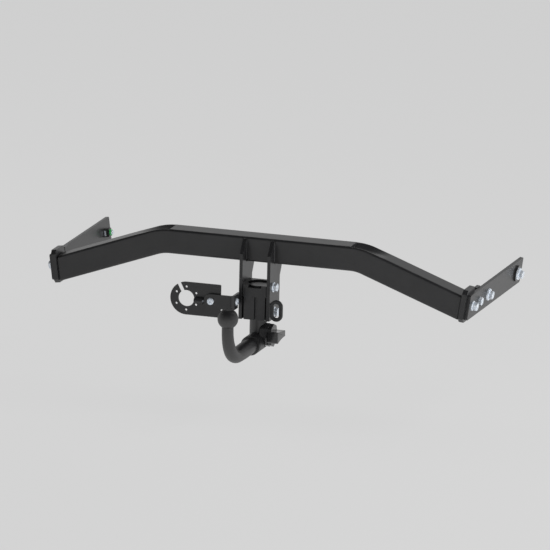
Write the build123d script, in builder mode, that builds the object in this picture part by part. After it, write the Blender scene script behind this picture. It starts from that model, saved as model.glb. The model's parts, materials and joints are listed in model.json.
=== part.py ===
from build123d import *
from math import atan2, cos, radians, sin, tan
import os

# Detachable towbar, in millimetres. +X is the vehicle's right as seen from behind,
# +Y is forward under the vehicle and +Z is up. The origin lies midway between the
# two front chassis bolts, where the towbar is held.

# Crossbeam: one square tube, bent down at both sides
tube_size = 60.0
tube_wall = 4.0
tube_corner = 5.5
bend_x = 248.5
bend_radius = 116.0
arm_angle = 20.1
beam_z = 94.2
beam_front_y = -160.5
end_x = 509.0

# End flanges and long side plates, leaning with the chassis rails
lean = 8.0
flange_thick = 12.0
flange_depth = 67.0
flange_proud = 5.0
flange_up = 46.0
flange_down = 35.0
flange_chamfer = 9.5
side_thick = 8.0
side_height = 62.5
side_length = 427.0
side_front_gap = 6.0
side_rise = 3.0
side_chamfer = 3.0

# Fasteners: thread radius, flats, head height, flange radius and flange height
m12_radius = 6.0
m12_flats = 18.0
chassis_flange_radius = 15.0
chassis_flange = 5.0
m12_head = 11.0
plate_bolt_head = 13.0
m12_flange_radius = 12.5
m12_flange = 3.0
m10_radius = 5.0
m10_flats = 18.5
m10_head = 8.0
thread_end = 2.0
hole_gap = 0.25
seat_gap = 0.05

# Places along the side plate, measured from the front chassis bolt
flange_bolt_y = -126.0
locating_bolt_y = -71.0
front_chassis_y = 0.0
rear_chassis_y = 231.0
chassis_washer_radius = 20.0
chassis_washer_thick = 4.2
rear_block_size = 20.0
rear_block_thick = 14.0
rear_nut_size = 16.0
rear_nut_thick = 5.0
rear_nut_start = 1.5
rear_nut_tab = 13.0
insert_radius = 7.5
insert_length = 3.5
rear_bolt_end = 4.0
front_shoulder_radius = 6.4
front_shoulder_step = 0.2
front_bolt_length = 30.0
nut_plate_length = 30.0
nut_plate_thick = 8.0
nut_plate_rise = 2.0
nut_plate_drop = 18.0

# Cheek plates that carry the receiver
cheek_gap = 62.0
cheek_thick = 8.0
cheek_front_y = -190.0
cheek_back_y = -114.0
cheek_bottom_z = -72.0
cheek_slant_z = 88.0
cheek_top_setback = 24.0
cheek_top_drop = 3.0
cheek_back_slant_z = 26.0
cheek_back_top_z = 49.0
weld_gap = 0.02

# Receiver
receiver_front_y = -188.5
receiver_back_y = -118.0
receiver_top_z = 13.5
receiver_collar = 29.0
receiver_pad_width = 53.0
receiver_pad_depth = 10.0
receiver_edge = 1.6
channel_width = 9.0
channel_x = 4.0
channel_depth = 5.0
mouth_width = 33.0
mouth_depth = 8.0
cap_radius = 23.0
cap_thick = 4.0
cap_gap = 4.0
receiver_bolt_gap = 0.1
receiver_bolts_yz = ((-164.0, 7.5, 3.4), (-154.5, -55.0, 7.0))

# Ball neck: trunnion in the receiver, elbow, neck and ball
ball_radius = 25.0
ball_y = -392.0
ball_z = -22.5
ball_flat = 22.5
neck_radius = 14.5
neck_root_radius = 18.0
neck_bend = 80.0
neck_drop = 107.5
elbow_radius = 24.0
elbow_front_y = -214.0
elbow_groove = 1.2
elbow_back_y = -131.5
trunnion_y = -153.0
trunnion_radius = 21.0
trunnion_top = 4.0
trunnion_lead = 2.5
slide_gap = 0.1

# Lock: knob, crank, rod and two balls
knob_z = -114.0
lock_seat_x = 11.0
housing_radius = 29.5
housing_thick = 19.5
housing_sides = 8
housing_turn = 1.0
housing_round = 2.5
knob_gap = 0.5
knob_radius = 28.5
knob_disc = 9.0
knob_length = 28.0
wing_half = 30.0
wing_tall = 15.5
wing_waist = 9.0
wing_tail = 7.5
wing_bevel = 5.0
shaft_radius = 7.0
crank_reach = 10.0
crank_radius = 14.0
crank_thick = 4.0
crank_start = 5.4
crank_pin_radius = 3.0
crank_angle = 30.0
cavity_radius = 18.0
cavity_depth = 17.0
foot_thick = 8.0
foot_half = 5.5
foot_nose = 13.5
foot_heel = 7.0
foot_slot_start = 5.3
spigot_radius = 2.5
spigot_length = 9.0
slot_gap = 0.2
rod_radius = 5.0
lock_ball_radius = 7.0
lock_ball_z = -34.0
lock_ball_inset = 0.3
lock_ball_travel = 3.2
groove_gap = 0.5
cone_gap = 0.1
head_radius = 10.8
head_rim = 3.0
head_bore_gap = 0.2
spring_wire = 1.6
spring_radius = 8.0
spring_length = 20.0
spring_turns = 5
spring_seat = 0.3
knob_pin_radius = 2.0
knob_pin_length = 17.0
index_pin_radius = 4.0
index_pin_z = -62.0
index_pin_reach = 4.5
index_slot = 9.0

# Safety eye on the right cheek
eye_width = 32.0
eye_height = 53.0
eye_thick = 8.0
eye_slot_width = 13.0
eye_slot_height = 35.0
eye_round = 2.5
eye_z = -45.0
eye_setback = 1.0

# Socket plate, its bracket and the lug that holds them
socket_z = -23.2
socket_x = -158.0
socket_front_y = -232.0
socket_thick = 3.5
socket_end_radius = 40.4
socket_hole_radius = 20.0
socket_right = 87.0
socket_corner = 3.0
socket_pcd = 57.0
socket_fixing_radius = 2.75
socket_fixings = 6
cable_slot_width = 9.7
cable_slot_angle = 118.0
pivot_x = -94.2
bracket_thick = 4.0
bracket_half = 17.5
bracket_spacer = 4.0
bracket_bend = 8.0
bracket_side_x = -35.0
bracket_back_y = -208.0
lug_bolt_y = -220.0
lug_thick = 8.0
lug_front_y = -228.0
lug_back_y = -162.0
lug_half = 12.5
m8_radius = 4.0
m8_flats = 13.0
m8_nut_height = 7.0
button_radius = 8.6
button_rim = 1.4
button_head = 4.4
button_top = 5.2
button_key = 5.0
button_key_depth = 2.4
spacer_radius = 9.8
sleeve_radius = 7.0
sleeve_drop = 1.6
sleeve_start = 19.5
sleeve_length = 21.5
detent_radius = 2.6
detent_gap = 0.3
detent_length = 16.0
sleeve_wall = 2.0
sleeve_bore = 4.3
detent_collar = 4.0
detent_travel = 4.0

# Values that follow from the sizes above
beam_y = beam_front_y + tube_size / 2
beam_bottom = beam_z - tube_size / 2
beam_top = beam_z + tube_size / 2
cheek_x = cheek_gap / 2
cheek_outer = cheek_x + cheek_thick
receiver_half = cheek_x - receiver_bolt_gap
rod_travel = 2 * crank_reach * sin(radians(crank_angle))
cone_slope = lock_ball_travel / rod_travel
cone_angle = atan2(lock_ball_travel, rod_travel)
lock_ball_x = trunnion_radius - lock_ball_inset - lock_ball_radius
housing_end = lock_seat_x + housing_thick
knob_start = housing_end + knob_gap
knob_end = knob_start + knob_length
neck_axis_z = ball_z - neck_drop
foot_z = knob_z - crank_reach * sin(radians(crank_angle))
cone_x = lock_ball_x - (lock_ball_radius + cone_gap) * cos(cone_angle)
cone_z = lock_ball_z - (lock_ball_radius + cone_gap) * sin(cone_angle)
head_top = lock_ball_z + 1.5
head_top_radius = cone_x - (head_top - cone_z) * cone_slope
rim_top = cone_z - (head_radius - cone_x) / cone_slope
rim_bottom = rim_top - head_rim
spring_floor = rim_bottom - spring_length
cap_top = receiver_top_z - 4.0
cap_floor = cap_top - cap_thick
counterbore_radius = cap_radius + cap_gap
plate_out = flange_thick + side_thick
pivot_front = socket_front_y - bracket_spacer - bracket_thick
sleeve_x = pivot_x - sleeve_start
detent_tip = pivot_x - bracket_half - detent_gap

os.makedirs("parts", exist_ok=True)


def end_plane(side, out=0.0, along=0.0, up=0.0):
    """Plane on the leaning side: local x runs fore and aft, y up the lean, z outwards."""
    outward = Vector(side * cos(radians(lean)), 0, -sin(radians(lean)))
    upward = Vector(side * sin(radians(lean)), 0, cos(radians(lean)))
    place = Vector(side * end_x, along, 0) + outward * out + upward * up
    return Plane(origin=place, x_dir=(0, side, 0), z_dir=outward)


def hex_bolt(flats, head, radius, shank, flange_radius=0.0, flange=0.0):
    """Hexagon bolt with its head above the local XY plane and its shank below."""
    with BuildPart() as bolt:
        with BuildSketch():
            RegularPolygon(flats / 2, 6, major_radius=False)
        extrude(amount=head)
        Cone(
            flats / 2 + 1.7 * head,
            flats / 2 - 0.3,
            head,
            align=(Align.CENTER, Align.CENTER, Align.MIN),
            mode=Mode.INTERSECT,
        )
        if flange > 0:
            Cone(flange_radius, flange_radius - 1.2, flange, align=(Align.CENTER, Align.CENTER, Align.MIN))
        with BuildSketch():
            Circle(radius)
        extrude(amount=-shank)
    return bolt.part


def button_bolt(shank):
    """Domed head with a hexagon socket above the local XY plane, and its shank below."""
    with BuildPart() as bolt:
        with BuildSketch():
            Circle(button_radius)
        extrude(amount=button_rim)
        with Locations((0, 0, button_rim)):
            Cone(
                button_radius,
                button_top,
                button_head - button_rim,
                align=(Align.CENTER, Align.CENTER, Align.MIN),
            )
        with BuildSketch(Plane.XY.offset(button_head)):
            RegularPolygon(button_key / 2, 6, major_radius=False)
        extrude(amount=-button_key_depth, mode=Mode.SUBTRACT)
        with BuildSketch():
            Circle(m8_radius)
        extrude(amount=-shank)
    return bolt.part


def hex_nut(flats, height, bore):
    """Hexagon nut standing on the local XY plane."""
    with BuildPart() as nut:
        with BuildSketch():
            RegularPolygon(flats / 2, 6, major_radius=False)
        extrude(amount=height)
        Cone(
            flats / 2 + 1.7 * height,
            flats / 2 - 0.3,
            height,
            align=(Align.CENTER, Align.CENTER, Align.MIN),
            mode=Mode.INTERSECT,
        )
        with BuildSketch():
            Circle(bore)
        extrude(amount=height, mode=Mode.SUBTRACT)
    return nut.part


# Crossbeam: one tube bent at both sides and cut to the leaning flanges
arm_reach = end_x + 60
arm_drop = beam_z - (arm_reach - bend_x) * tan(radians(arm_angle))
with BuildPart() as crossbeam:
    with BuildLine(Plane.XZ.offset(-beam_y)) as beam_path:
        FilletPolyline(
            (-arm_reach, arm_drop),
            (-bend_x, beam_z),
            (bend_x, beam_z),
            (arm_reach, arm_drop),
            radius=bend_radius,
        )
    with BuildSketch(Plane(origin=beam_path.line @ 0, x_dir=(0, 1, 0), z_dir=beam_path.line % 0)):
        RectangleRounded(tube_size, tube_size, tube_corner)
        RectangleRounded(
            tube_size - 2 * tube_wall,
            tube_size - 2 * tube_wall,
            tube_corner - tube_wall,
            mode=Mode.SUBTRACT,
        )
    sweep()
    for side in (-1, 1):
        split(bisect_by=end_plane(side, -weld_gap), keep=Keep.BOTTOM)
crossbeam.part.label = "crossbeam"
export_step(crossbeam.part, "parts/crossbeam.step")

# End flanges: thick plates across the tube ends, drilled for the side plates
flange_mid_y = beam_front_y - flange_proud + flange_depth / 2
flange_mid_up = (flange_up - flange_down) / 2
for side, name in ((-1, "left_end_flange"), (1, "right_end_flange")):
    with BuildPart() as end_flange:
        with BuildSketch(end_plane(side, 0, flange_mid_y, flange_mid_up)) as flange_face:
            Rectangle(flange_depth, flange_up + flange_down)
            chamfer(flange_face.vertices(), flange_chamfer)
        extrude(amount=flange_thick)
        with BuildSketch(end_plane(side, 0, flange_bolt_y, side_rise)):
            Circle(m12_radius + seat_gap)
        extrude(amount=flange_thick, mode=Mode.SUBTRACT)
    end_flange.part.label = name
    export_step(end_flange.part, f"parts/{name}.step")

# Side plates: long flat bars with one row of bolt holes
side_mid_y = beam_front_y + side_front_gap + side_length / 2
for side, name in ((-1, "left_side_plate"), (1, "right_side_plate")):
    with BuildPart() as side_plate:
        with BuildSketch(end_plane(side, flange_thick + weld_gap, side_mid_y, side_rise)) as side_face:
            Rectangle(side_length, side_height)
            chamfer(side_face.vertices(), side_chamfer)
        extrude(amount=side_thick - weld_gap)
        for hole_y, hole_radius in (
            (flange_bolt_y, m12_radius),
            (locating_bolt_y, m10_radius),
            (front_chassis_y, front_shoulder_radius),
            (rear_chassis_y, m12_radius),
        ):
            with BuildSketch(end_plane(side, flange_thick, hole_y, side_rise)):
                Circle(hole_radius + hole_gap)
            extrude(amount=side_thick, mode=Mode.SUBTRACT)
    side_plate.part.label = name
    export_step(side_plate.part, f"parts/{name}.step")

# Flange bolts that hold each side plate to its end flange
flange_bolt = hex_bolt(
    m12_flats, plate_bolt_head, m12_radius, plate_out - thread_end, m12_flange_radius, m12_flange
)
with BuildPart() as flange_bolts:
    with Locations(
        end_plane(-1, plate_out, flange_bolt_y, side_rise),
        end_plane(1, plate_out, flange_bolt_y, side_rise),
    ):
        add(flange_bolt)
flange_bolts.part.label = "flange_bolts"
export_step(flange_bolts.part, "parts/flange_bolts.step")

# Locating bolts in front of the flanges, and the nut plates behind them
locating_bolt = hex_bolt(m10_flats, m10_head, m10_radius, side_thick + nut_plate_thick)
with BuildPart() as locating_bolts:
    with Locations(
        end_plane(-1, plate_out, locating_bolt_y, side_rise),
        end_plane(1, plate_out, locating_bolt_y, side_rise),
    ):
        add(locating_bolt)
locating_bolts.part.label = "locating_bolts"
export_step(locating_bolts.part, "parts/locating_bolts.step")

nut_plate_top = side_rise + side_height / 2 + nut_plate_rise
nut_plate_low = side_rise - nut_plate_drop
with BuildPart() as nut_plates:
    for side in (-1, 1):
        with BuildSketch(
            end_plane(side, flange_thick, locating_bolt_y + 2, (nut_plate_top + nut_plate_low) / 2)
        ):
            RectangleRounded(nut_plate_length, nut_plate_top - nut_plate_low, 3)
        extrude(amount=-nut_plate_thick)
        with BuildSketch(end_plane(side, flange_thick, locating_bolt_y, side_rise)):
            Circle(m10_radius + seat_gap)
        extrude(amount=-nut_plate_thick, mode=Mode.SUBTRACT)
nut_plates.part.label = "nut_plates"
export_step(nut_plates.part, "parts/nut_plates.step")

# Front chassis bolts, with a wide flange and a shoulder that fits the side plate
front_shank = hex_bolt(
    m12_flats,
    plate_bolt_head,
    front_shoulder_radius,
    side_thick + front_shoulder_step,
    chassis_flange_radius,
    chassis_flange,
)
with BuildPart() as front_bolt_solid:
    add(front_shank)
    with BuildSketch():
        Circle(m12_radius)
    extrude(amount=-front_bolt_length)
front_bolt = front_bolt_solid.part
with BuildPart() as front_chassis_bolts:
    with Locations(
        end_plane(-1, plate_out, front_chassis_y, side_rise),
        end_plane(1, plate_out, front_chassis_y, side_rise),
    ):
        add(front_bolt)
front_chassis_bolts.part.label = "front_chassis_bolts"
export_step(front_chassis_bolts.part, "parts/front_chassis_bolts.step")

# Rear chassis bolts on black washers
rear_stack = rear_block_thick + insert_length
rear_bolt = hex_bolt(
    m12_flats,
    plate_bolt_head,
    m12_radius,
    chassis_washer_thick + side_thick + rear_stack + rear_bolt_end,
    chassis_flange_radius,
    chassis_flange,
)
with BuildPart() as rear_chassis_bolts:
    with Locations(
        end_plane(-1, plate_out + chassis_washer_thick, rear_chassis_y, side_rise),
        end_plane(1, plate_out + chassis_washer_thick, rear_chassis_y, side_rise),
    ):
        add(rear_bolt)
rear_chassis_bolts.part.label = "rear_chassis_bolts"
export_step(rear_chassis_bolts.part, "parts/rear_chassis_bolts.step")

with BuildPart() as chassis_washers:
    for side in (-1, 1):
        with BuildSketch(end_plane(side, plate_out, rear_chassis_y, side_rise)):
            Circle(chassis_washer_radius)
            Circle(m12_radius + hole_gap, mode=Mode.SUBTRACT)
        extrude(amount=chassis_washer_thick)
chassis_washers.part.label = "chassis_washers"
export_step(chassis_washers.part, "parts/chassis_washers.step")

# Black blocks on the inner side of the plates, each moulded round a square nut
nut_near = flange_thick - rear_nut_start
window_y = rear_chassis_y - (rear_nut_size + rear_block_size) / 4
window_depth = (rear_block_size - rear_nut_size) / 2
with BuildPart() as rear_blocks:
    for side in (-1, 1):
        with BuildSketch(end_plane(side, flange_thick, rear_chassis_y, side_rise)):
            RectangleRounded(rear_block_size, rear_block_size, 1.5)
            Circle(m12_radius + hole_gap, mode=Mode.SUBTRACT)
        extrude(amount=-rear_block_thick)
        with BuildSketch(end_plane(side, nut_near + weld_gap, rear_chassis_y, side_rise)):
            Rectangle(rear_nut_size + 2 * weld_gap, rear_nut_size + 2 * weld_gap)
        extrude(amount=-rear_nut_thick - 2 * weld_gap, mode=Mode.SUBTRACT)
        with BuildSketch(end_plane(side, nut_near + weld_gap, window_y - 2 * weld_gap, side_rise)):
            Rectangle(window_depth + 4 * weld_gap, rear_nut_tab + 2 * weld_gap)
        extrude(amount=-rear_nut_thick - 2 * weld_gap, mode=Mode.SUBTRACT)
rear_blocks.part.label = "rear_blocks"
export_step(rear_blocks.part, "parts/rear_blocks.step")

with BuildPart() as rear_nuts:
    for side in (-1, 1):
        with BuildSketch(end_plane(side, nut_near, rear_chassis_y, side_rise)):
            Rectangle(rear_nut_size, rear_nut_size)
        extrude(amount=-rear_nut_thick)
        with BuildSketch(end_plane(side, nut_near, window_y, side_rise)):
            Rectangle(window_depth, rear_nut_tab)
        extrude(amount=-rear_nut_thick)
        with BuildSketch(end_plane(side, nut_near, rear_chassis_y, side_rise)):
            Circle(m12_radius + seat_gap)
        extrude(amount=-rear_nut_thick, mode=Mode.SUBTRACT)
rear_nuts.part.label = "rear_nuts"
export_step(rear_nuts.part, "parts/rear_nuts.step")

# Green rings between the blocks and the bolt ends
with BuildPart() as nut_inserts:
    for side in (-1, 1):
        with BuildSketch(end_plane(side, flange_thick - rear_block_thick, rear_chassis_y, side_rise)):
            Circle(insert_radius)
            Circle(m12_radius + seat_gap, mode=Mode.SUBTRACT)
        extrude(amount=-insert_length)
nut_inserts.part.label = "nut_inserts"
export_step(nut_inserts.part, "parts/nut_inserts.step")

# Cheeks: plates notched round the beam that carry the receiver
cheek_outline = (
    (cheek_front_y, cheek_bottom_z),
    (cheek_front_y, cheek_slant_z),
    (cheek_front_y + cheek_top_setback, beam_top - cheek_top_drop),
    (beam_front_y - weld_gap, beam_top - cheek_top_drop),
    (beam_front_y - weld_gap, beam_bottom - weld_gap),
    (beam_front_y + tube_size, beam_bottom - weld_gap),
    (beam_front_y + tube_size, cheek_back_top_z),
    (cheek_back_y, cheek_back_slant_z),
    (cheek_back_y, cheek_bottom_z),
)
for side, name in ((-1, "left_cheek"), (1, "right_cheek")):
    with BuildPart() as cheek:
        with BuildSketch(Plane.YZ.offset(side * (cheek_x + cheek_thick / 2))):
            Polygon(*cheek_outline, align=None)
        extrude(amount=cheek_thick / 2, both=True)
        if side > 0:
            for bolt_y, bolt_z, reach in receiver_bolts_yz:
                with BuildSketch(Plane(origin=(cheek_x, bolt_y, bolt_z), x_dir=(0, 1, 0), z_dir=(1, 0, 0))):
                    Circle(m12_radius + hole_gap)
                extrude(amount=cheek_thick, mode=Mode.SUBTRACT)
    cheek.part.label = name
    export_step(cheek.part, f"parts/{name}.step")

# Receiver: block with the bore for the trunnion, its lock groove and its key slot
receiver_mid_y = (receiver_front_y + receiver_back_y) / 2
receiver_height = receiver_top_z - cheek_bottom_z
with BuildPart() as receiver:
    with BuildSketch(Plane.XY.offset(cheek_bottom_z)):
        with Locations((0, receiver_mid_y)):
            Rectangle(2 * receiver_half, receiver_back_y - receiver_front_y)
    extrude(amount=receiver_height)
    chamfer(receiver.edges().filter_by(Axis.Z), receiver_edge)
    # Narrower pad in the lower front
    with BuildSketch(Plane.XY.offset(cheek_bottom_z)):
        for side in (-1, 1):
            with Locations((side * (receiver_pad_width / 2 + 5), receiver_front_y)):
                Rectangle(10, 2 * receiver_pad_depth)
    extrude(amount=receiver_height - receiver_collar, mode=Mode.SUBTRACT)
    # Upright channel in the pad
    with BuildSketch(Plane.XY.offset(cheek_bottom_z)):
        with Locations((channel_x, receiver_front_y)):
            Rectangle(channel_width, 2 * channel_depth)
    extrude(amount=receiver_height - receiver_collar, mode=Mode.SUBTRACT)
    # Bore, counterbore and the mouth in front of it
    with BuildSketch(Plane.XY.offset(cheek_bottom_z)):
        with Locations((0, trunnion_y)):
            Circle(trunnion_radius + slide_gap)
    extrude(amount=receiver_height, mode=Mode.SUBTRACT)
    with BuildSketch(Plane.XY.offset(receiver_top_z)):
        with Locations((0, trunnion_y)):
            Circle(counterbore_radius)
    extrude(amount=cap_floor - receiver_top_z, mode=Mode.SUBTRACT)
    with BuildSketch(Plane.XY.offset(receiver_top_z)):
        with Locations((0, (receiver_front_y + trunnion_y) / 2)):
            Rectangle(mouth_width, trunnion_y - receiver_front_y)
    extrude(amount=-mouth_depth, mode=Mode.SUBTRACT)
    # Groove that the lock balls move into
    with Locations((0, trunnion_y, lock_ball_z)):
        Torus(lock_ball_x + lock_ball_travel, lock_ball_radius + groove_gap, mode=Mode.SUBTRACT)
    # Slot for the index pin, open at the bottom
    slot_height = index_pin_z + index_slot / 2 - cheek_bottom_z
    with BuildSketch(Plane.XY.offset(cheek_bottom_z)):
        with Locations((0, trunnion_y + trunnion_radius / 2 + 2.8 + index_pin_reach)):
            Rectangle(index_slot, trunnion_radius)
    extrude(amount=slot_height, mode=Mode.SUBTRACT)
    for bolt_y, bolt_z, reach in receiver_bolts_yz:
        with BuildSketch(Plane(origin=(receiver_half, bolt_y, bolt_z), x_dir=(0, 1, 0), z_dir=(1, 0, 0))):
            Circle(m12_radius + seat_gap)
        extrude(amount=-(reach + 0.2), mode=Mode.SUBTRACT)
receiver.part.label = "receiver"
export_step(receiver.part, "parts/receiver.step")

with BuildPart() as receiver_cap:
    with BuildSketch(Plane.XY.offset(cap_floor)):
        with Locations((0, trunnion_y)):
            Circle(cap_radius)
    extrude(amount=cap_thick)
    chamfer(receiver_cap.faces().sort_by(Axis.Z)[-1].edges(), 0.8)
receiver_cap.part.label = "receiver_cap"
export_step(receiver_cap.part, "parts/receiver_cap.step")

# Receiver bolts through the right cheek
receiver_bolt_solids = []
for bolt_y, bolt_z, reach in receiver_bolts_yz:
    receiver_bolt = hex_bolt(
        m12_flats, m12_head, m12_radius, cheek_outer - receiver_half + reach, m12_flange_radius, m12_flange
    )
    place = Plane(origin=(cheek_outer, bolt_y, bolt_z), x_dir=(0, 1, 0), z_dir=(1, 0, 0))
    receiver_bolt_solids.append(place.location * receiver_bolt)
with BuildPart() as receiver_bolts:
    add(receiver_bolt_solids)
receiver_bolts.part.label = "receiver_bolts"
export_step(receiver_bolts.part, "parts/receiver_bolts.step")

# Safety eye welded to the right cheek
with BuildPart() as safety_eye:
    with BuildSketch(Plane.XZ.offset(-(cheek_front_y + eye_setback))):
        with Locations((cheek_outer + weld_gap + eye_width / 2, eye_z)):
            SlotOverall(eye_height, eye_width, rotation=90)
            SlotOverall(eye_slot_height, eye_slot_width, rotation=90, mode=Mode.SUBTRACT)
    extrude(amount=-eye_thick)
    fillet(safety_eye.faces().filter_by(Axis.Y).edges(), eye_round)
safety_eye.part.label = "safety_eye"
export_step(safety_eye.part, "parts/safety_eye.step")

# Ball neck: ball, tapering neck, elbow and trunnion in one forging
with BuildPart() as ball_neck:
    with BuildLine(Plane.YZ) as neck_path:
        FilletPolyline(
            (ball_y, ball_z),
            (ball_y, neck_axis_z),
            (elbow_front_y + 5, neck_axis_z),
            radius=neck_bend,
        )
    for station, radius in (
        (0.0, neck_radius),
        (0.2, neck_radius),
        (0.55, neck_root_radius),
        (1.0, neck_root_radius),
    ):
        with BuildSketch(
            Plane(origin=neck_path.line @ station, x_dir=(1, 0, 0), z_dir=neck_path.line % station)
        ):
            Circle(radius)
    sweep(multisection=True)
    with Locations((0, ball_y, ball_z)):
        Sphere(ball_radius)
    with BuildSketch(Plane.XZ.offset(-elbow_front_y)):
        with Locations((0, neck_axis_z)):
            Circle(elbow_radius)
    extrude(amount=elbow_front_y - elbow_back_y)
    with BuildSketch(Plane.XY.offset(neck_axis_z)):
        with Locations((0, trunnion_y)):
            Circle(trunnion_radius)
    extrude(amount=trunnion_top - neck_axis_z)
    chamfer(ball_neck.edges().group_by(Axis.Z)[-1], trunnion_lead)
    # Flat on the crown of the ball
    with BuildSketch(Plane.XY.offset(ball_z + ball_flat)):
        with Locations((0, ball_y)):
            Circle(ball_radius)
    extrude(amount=ball_radius, mode=Mode.SUBTRACT)
    # Groove round the elbow collar
    with BuildSketch(Plane.XZ.offset(-(elbow_front_y + 5))):
        with Locations((0, neck_axis_z)):
            Circle(elbow_radius + 1)
            Circle(elbow_radius - elbow_groove, mode=Mode.SUBTRACT)
    extrude(amount=-2, mode=Mode.SUBTRACT)
    # Seat and cavity for the lock, then the bores above it
    with BuildSketch(Plane(origin=(lock_seat_x, trunnion_y, knob_z), x_dir=(0, 1, 0), z_dir=(1, 0, 0))):
        Circle(housing_radius + 0.5)
    extrude(amount=30, mode=Mode.SUBTRACT)
    with BuildSketch(Plane(origin=(lock_seat_x, trunnion_y, knob_z), x_dir=(0, 1, 0), z_dir=(1, 0, 0))):
        Circle(cavity_radius)
    extrude(amount=-cavity_depth, mode=Mode.SUBTRACT)
    with BuildSketch(Plane.XY.offset(knob_z)):
        with Locations((0, trunnion_y)):
            Circle(rod_radius + slot_gap)
    extrude(amount=trunnion_top - knob_z, mode=Mode.SUBTRACT)
    with BuildSketch(Plane.XY.offset(spring_floor)):
        with Locations((0, trunnion_y)):
            Circle(head_radius + head_bore_gap)
    extrude(amount=trunnion_top - spring_floor, mode=Mode.SUBTRACT)
    with Locations(Location((0, trunnion_y, lock_ball_z), (0, 90, 0))):
        Cylinder(lock_ball_radius + slide_gap, 3 * trunnion_radius, mode=Mode.SUBTRACT)
    with BuildSketch(Plane.XZ.offset(-trunnion_y)):
        with Locations((0, index_pin_z)):
            Circle(index_pin_radius + seat_gap)
    extrude(amount=-2 * trunnion_radius, mode=Mode.SUBTRACT)
ball_neck.part.label = "ball_neck"
export_step(ball_neck.part, "parts/ball_neck.step")

with BuildPart() as index_pin:
    with BuildSketch(Plane.XZ.offset(-(trunnion_y + head_radius + 1.5))):
        with Locations((0, index_pin_z)):
            Circle(index_pin_radius)
    extrude(amount=-(trunnion_radius - head_radius - 1.5 + index_pin_reach))
index_pin.part.label = "index_pin"
export_step(index_pin.part, "parts/index_pin.step")

# Lock housing: eight-sided body bolted to the flat of the elbow
knob_face = Plane(origin=(0, trunnion_y, knob_z), x_dir=(0, 1, 0), z_dir=(1, 0, 0))
with BuildPart() as lock_housing:
    with BuildSketch(knob_face.offset(lock_seat_x)) as housing_outline:
        RegularPolygon(housing_radius, housing_sides, rotation=housing_turn)
        fillet(housing_outline.vertices(), housing_round)
        Circle(shaft_radius + slide_gap, mode=Mode.SUBTRACT)
    extrude(amount=housing_thick)
lock_housing.part.label = "lock_housing"
export_step(lock_housing.part, "parts/lock_housing.step")

# Knob: an eight-sided plate with a tapering wing
shaft_depth = knob_length - 6
with BuildPart() as lock_knob:
    with BuildSketch(knob_face.offset(knob_start)) as knob_outline:
        RegularPolygon(knob_radius, housing_sides, rotation=housing_turn)
        fillet(knob_outline.vertices(), housing_round)
    extrude(amount=knob_disc)
    with BuildSketch(knob_face.offset(knob_start)):
        with BuildLine():
            Polyline(
                (-wing_half + wing_bevel, -wing_tall),
                (-wing_half, -wing_tall + wing_bevel),
                (-wing_half, wing_tall),
            )
            ThreePointArc((-wing_half, wing_tall), (0, wing_waist + 1.5), (wing_half, wing_tail))
            Polyline((wing_half, wing_tail), (wing_half, -wing_tail))
            ThreePointArc((wing_half, -wing_tail), (2, -wing_waist), (-wing_half + wing_bevel, -wing_tall))
        make_face()
    extrude(amount=knob_length)
    fillet(lock_knob.faces().sort_by(Axis.X)[-1].edges(), 1.5)
    with BuildSketch(knob_face.offset(knob_start)):
        Circle(shaft_radius + seat_gap)
    extrude(amount=shaft_depth, mode=Mode.SUBTRACT)
    with BuildSketch(Plane.XY.offset(knob_z)):
        with Locations((knob_start + 18, trunnion_y)):
            Circle(knob_pin_radius + seat_gap)
    extrude(amount=40, both=True, mode=Mode.SUBTRACT)
lock_knob.part.label = "lock_knob"
export_step(lock_knob.part, "parts/lock_knob.step")

# Lock shaft with its crank disc and crank pin
with BuildPart() as lock_shaft:
    with BuildSketch(knob_face.offset(crank_start)):
        Circle(crank_radius)
    extrude(amount=crank_thick)
    with BuildSketch(knob_face.offset(crank_start)):
        Circle(shaft_radius)
    extrude(amount=knob_start + shaft_depth - 0.5 - crank_start)
    with BuildSketch(knob_face.offset(crank_start)):
        with PolarLocations(crank_reach, 1, start_angle=-crank_angle):
            Circle(crank_pin_radius)
    extrude(amount=-(crank_start + foot_thick / 2 + 0.5))
    with BuildSketch(Plane.XY.offset(knob_z)):
        with Locations((knob_start + 18, trunnion_y)):
            Circle(knob_pin_radius + seat_gap)
    extrude(amount=40, both=True, mode=Mode.SUBTRACT)
lock_shaft.part.label = "lock_shaft"
export_step(lock_shaft.part, "parts/lock_shaft.step")

with BuildPart() as knob_pin:
    with BuildSketch(Plane.XY.offset(knob_z)):
        with Locations((knob_start + 18, trunnion_y)):
            Circle(knob_pin_radius)
    extrude(amount=knob_pin_length / 2, both=True)
knob_pin.part.label = "knob_pin"
export_step(knob_pin.part, "parts/knob_pin.step")

# Yoke that the crank pin lifts, and the rod screwed into it
with BuildPart() as lock_yoke:
    with BuildSketch(Plane.YZ.offset(-foot_thick / 2)):
        with Locations((trunnion_y + (foot_nose - foot_heel) / 2, foot_z)):
            Rectangle(foot_nose + foot_heel, 2 * foot_half)
        with Locations((trunnion_y + foot_slot_start + 10, foot_z)):
            Rectangle(20, 2 * (crank_pin_radius + slot_gap), mode=Mode.SUBTRACT)
    extrude(amount=foot_thick)
    with BuildSketch(Plane.XY.offset(foot_z + foot_half)):
        with Locations((0, trunnion_y)):
            Circle(spigot_radius + seat_gap)
    extrude(amount=-spigot_length - 0.5, mode=Mode.SUBTRACT)
lock_yoke.part.label = "lock_yoke"
export_step(lock_yoke.part, "parts/lock_yoke.step")

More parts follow.
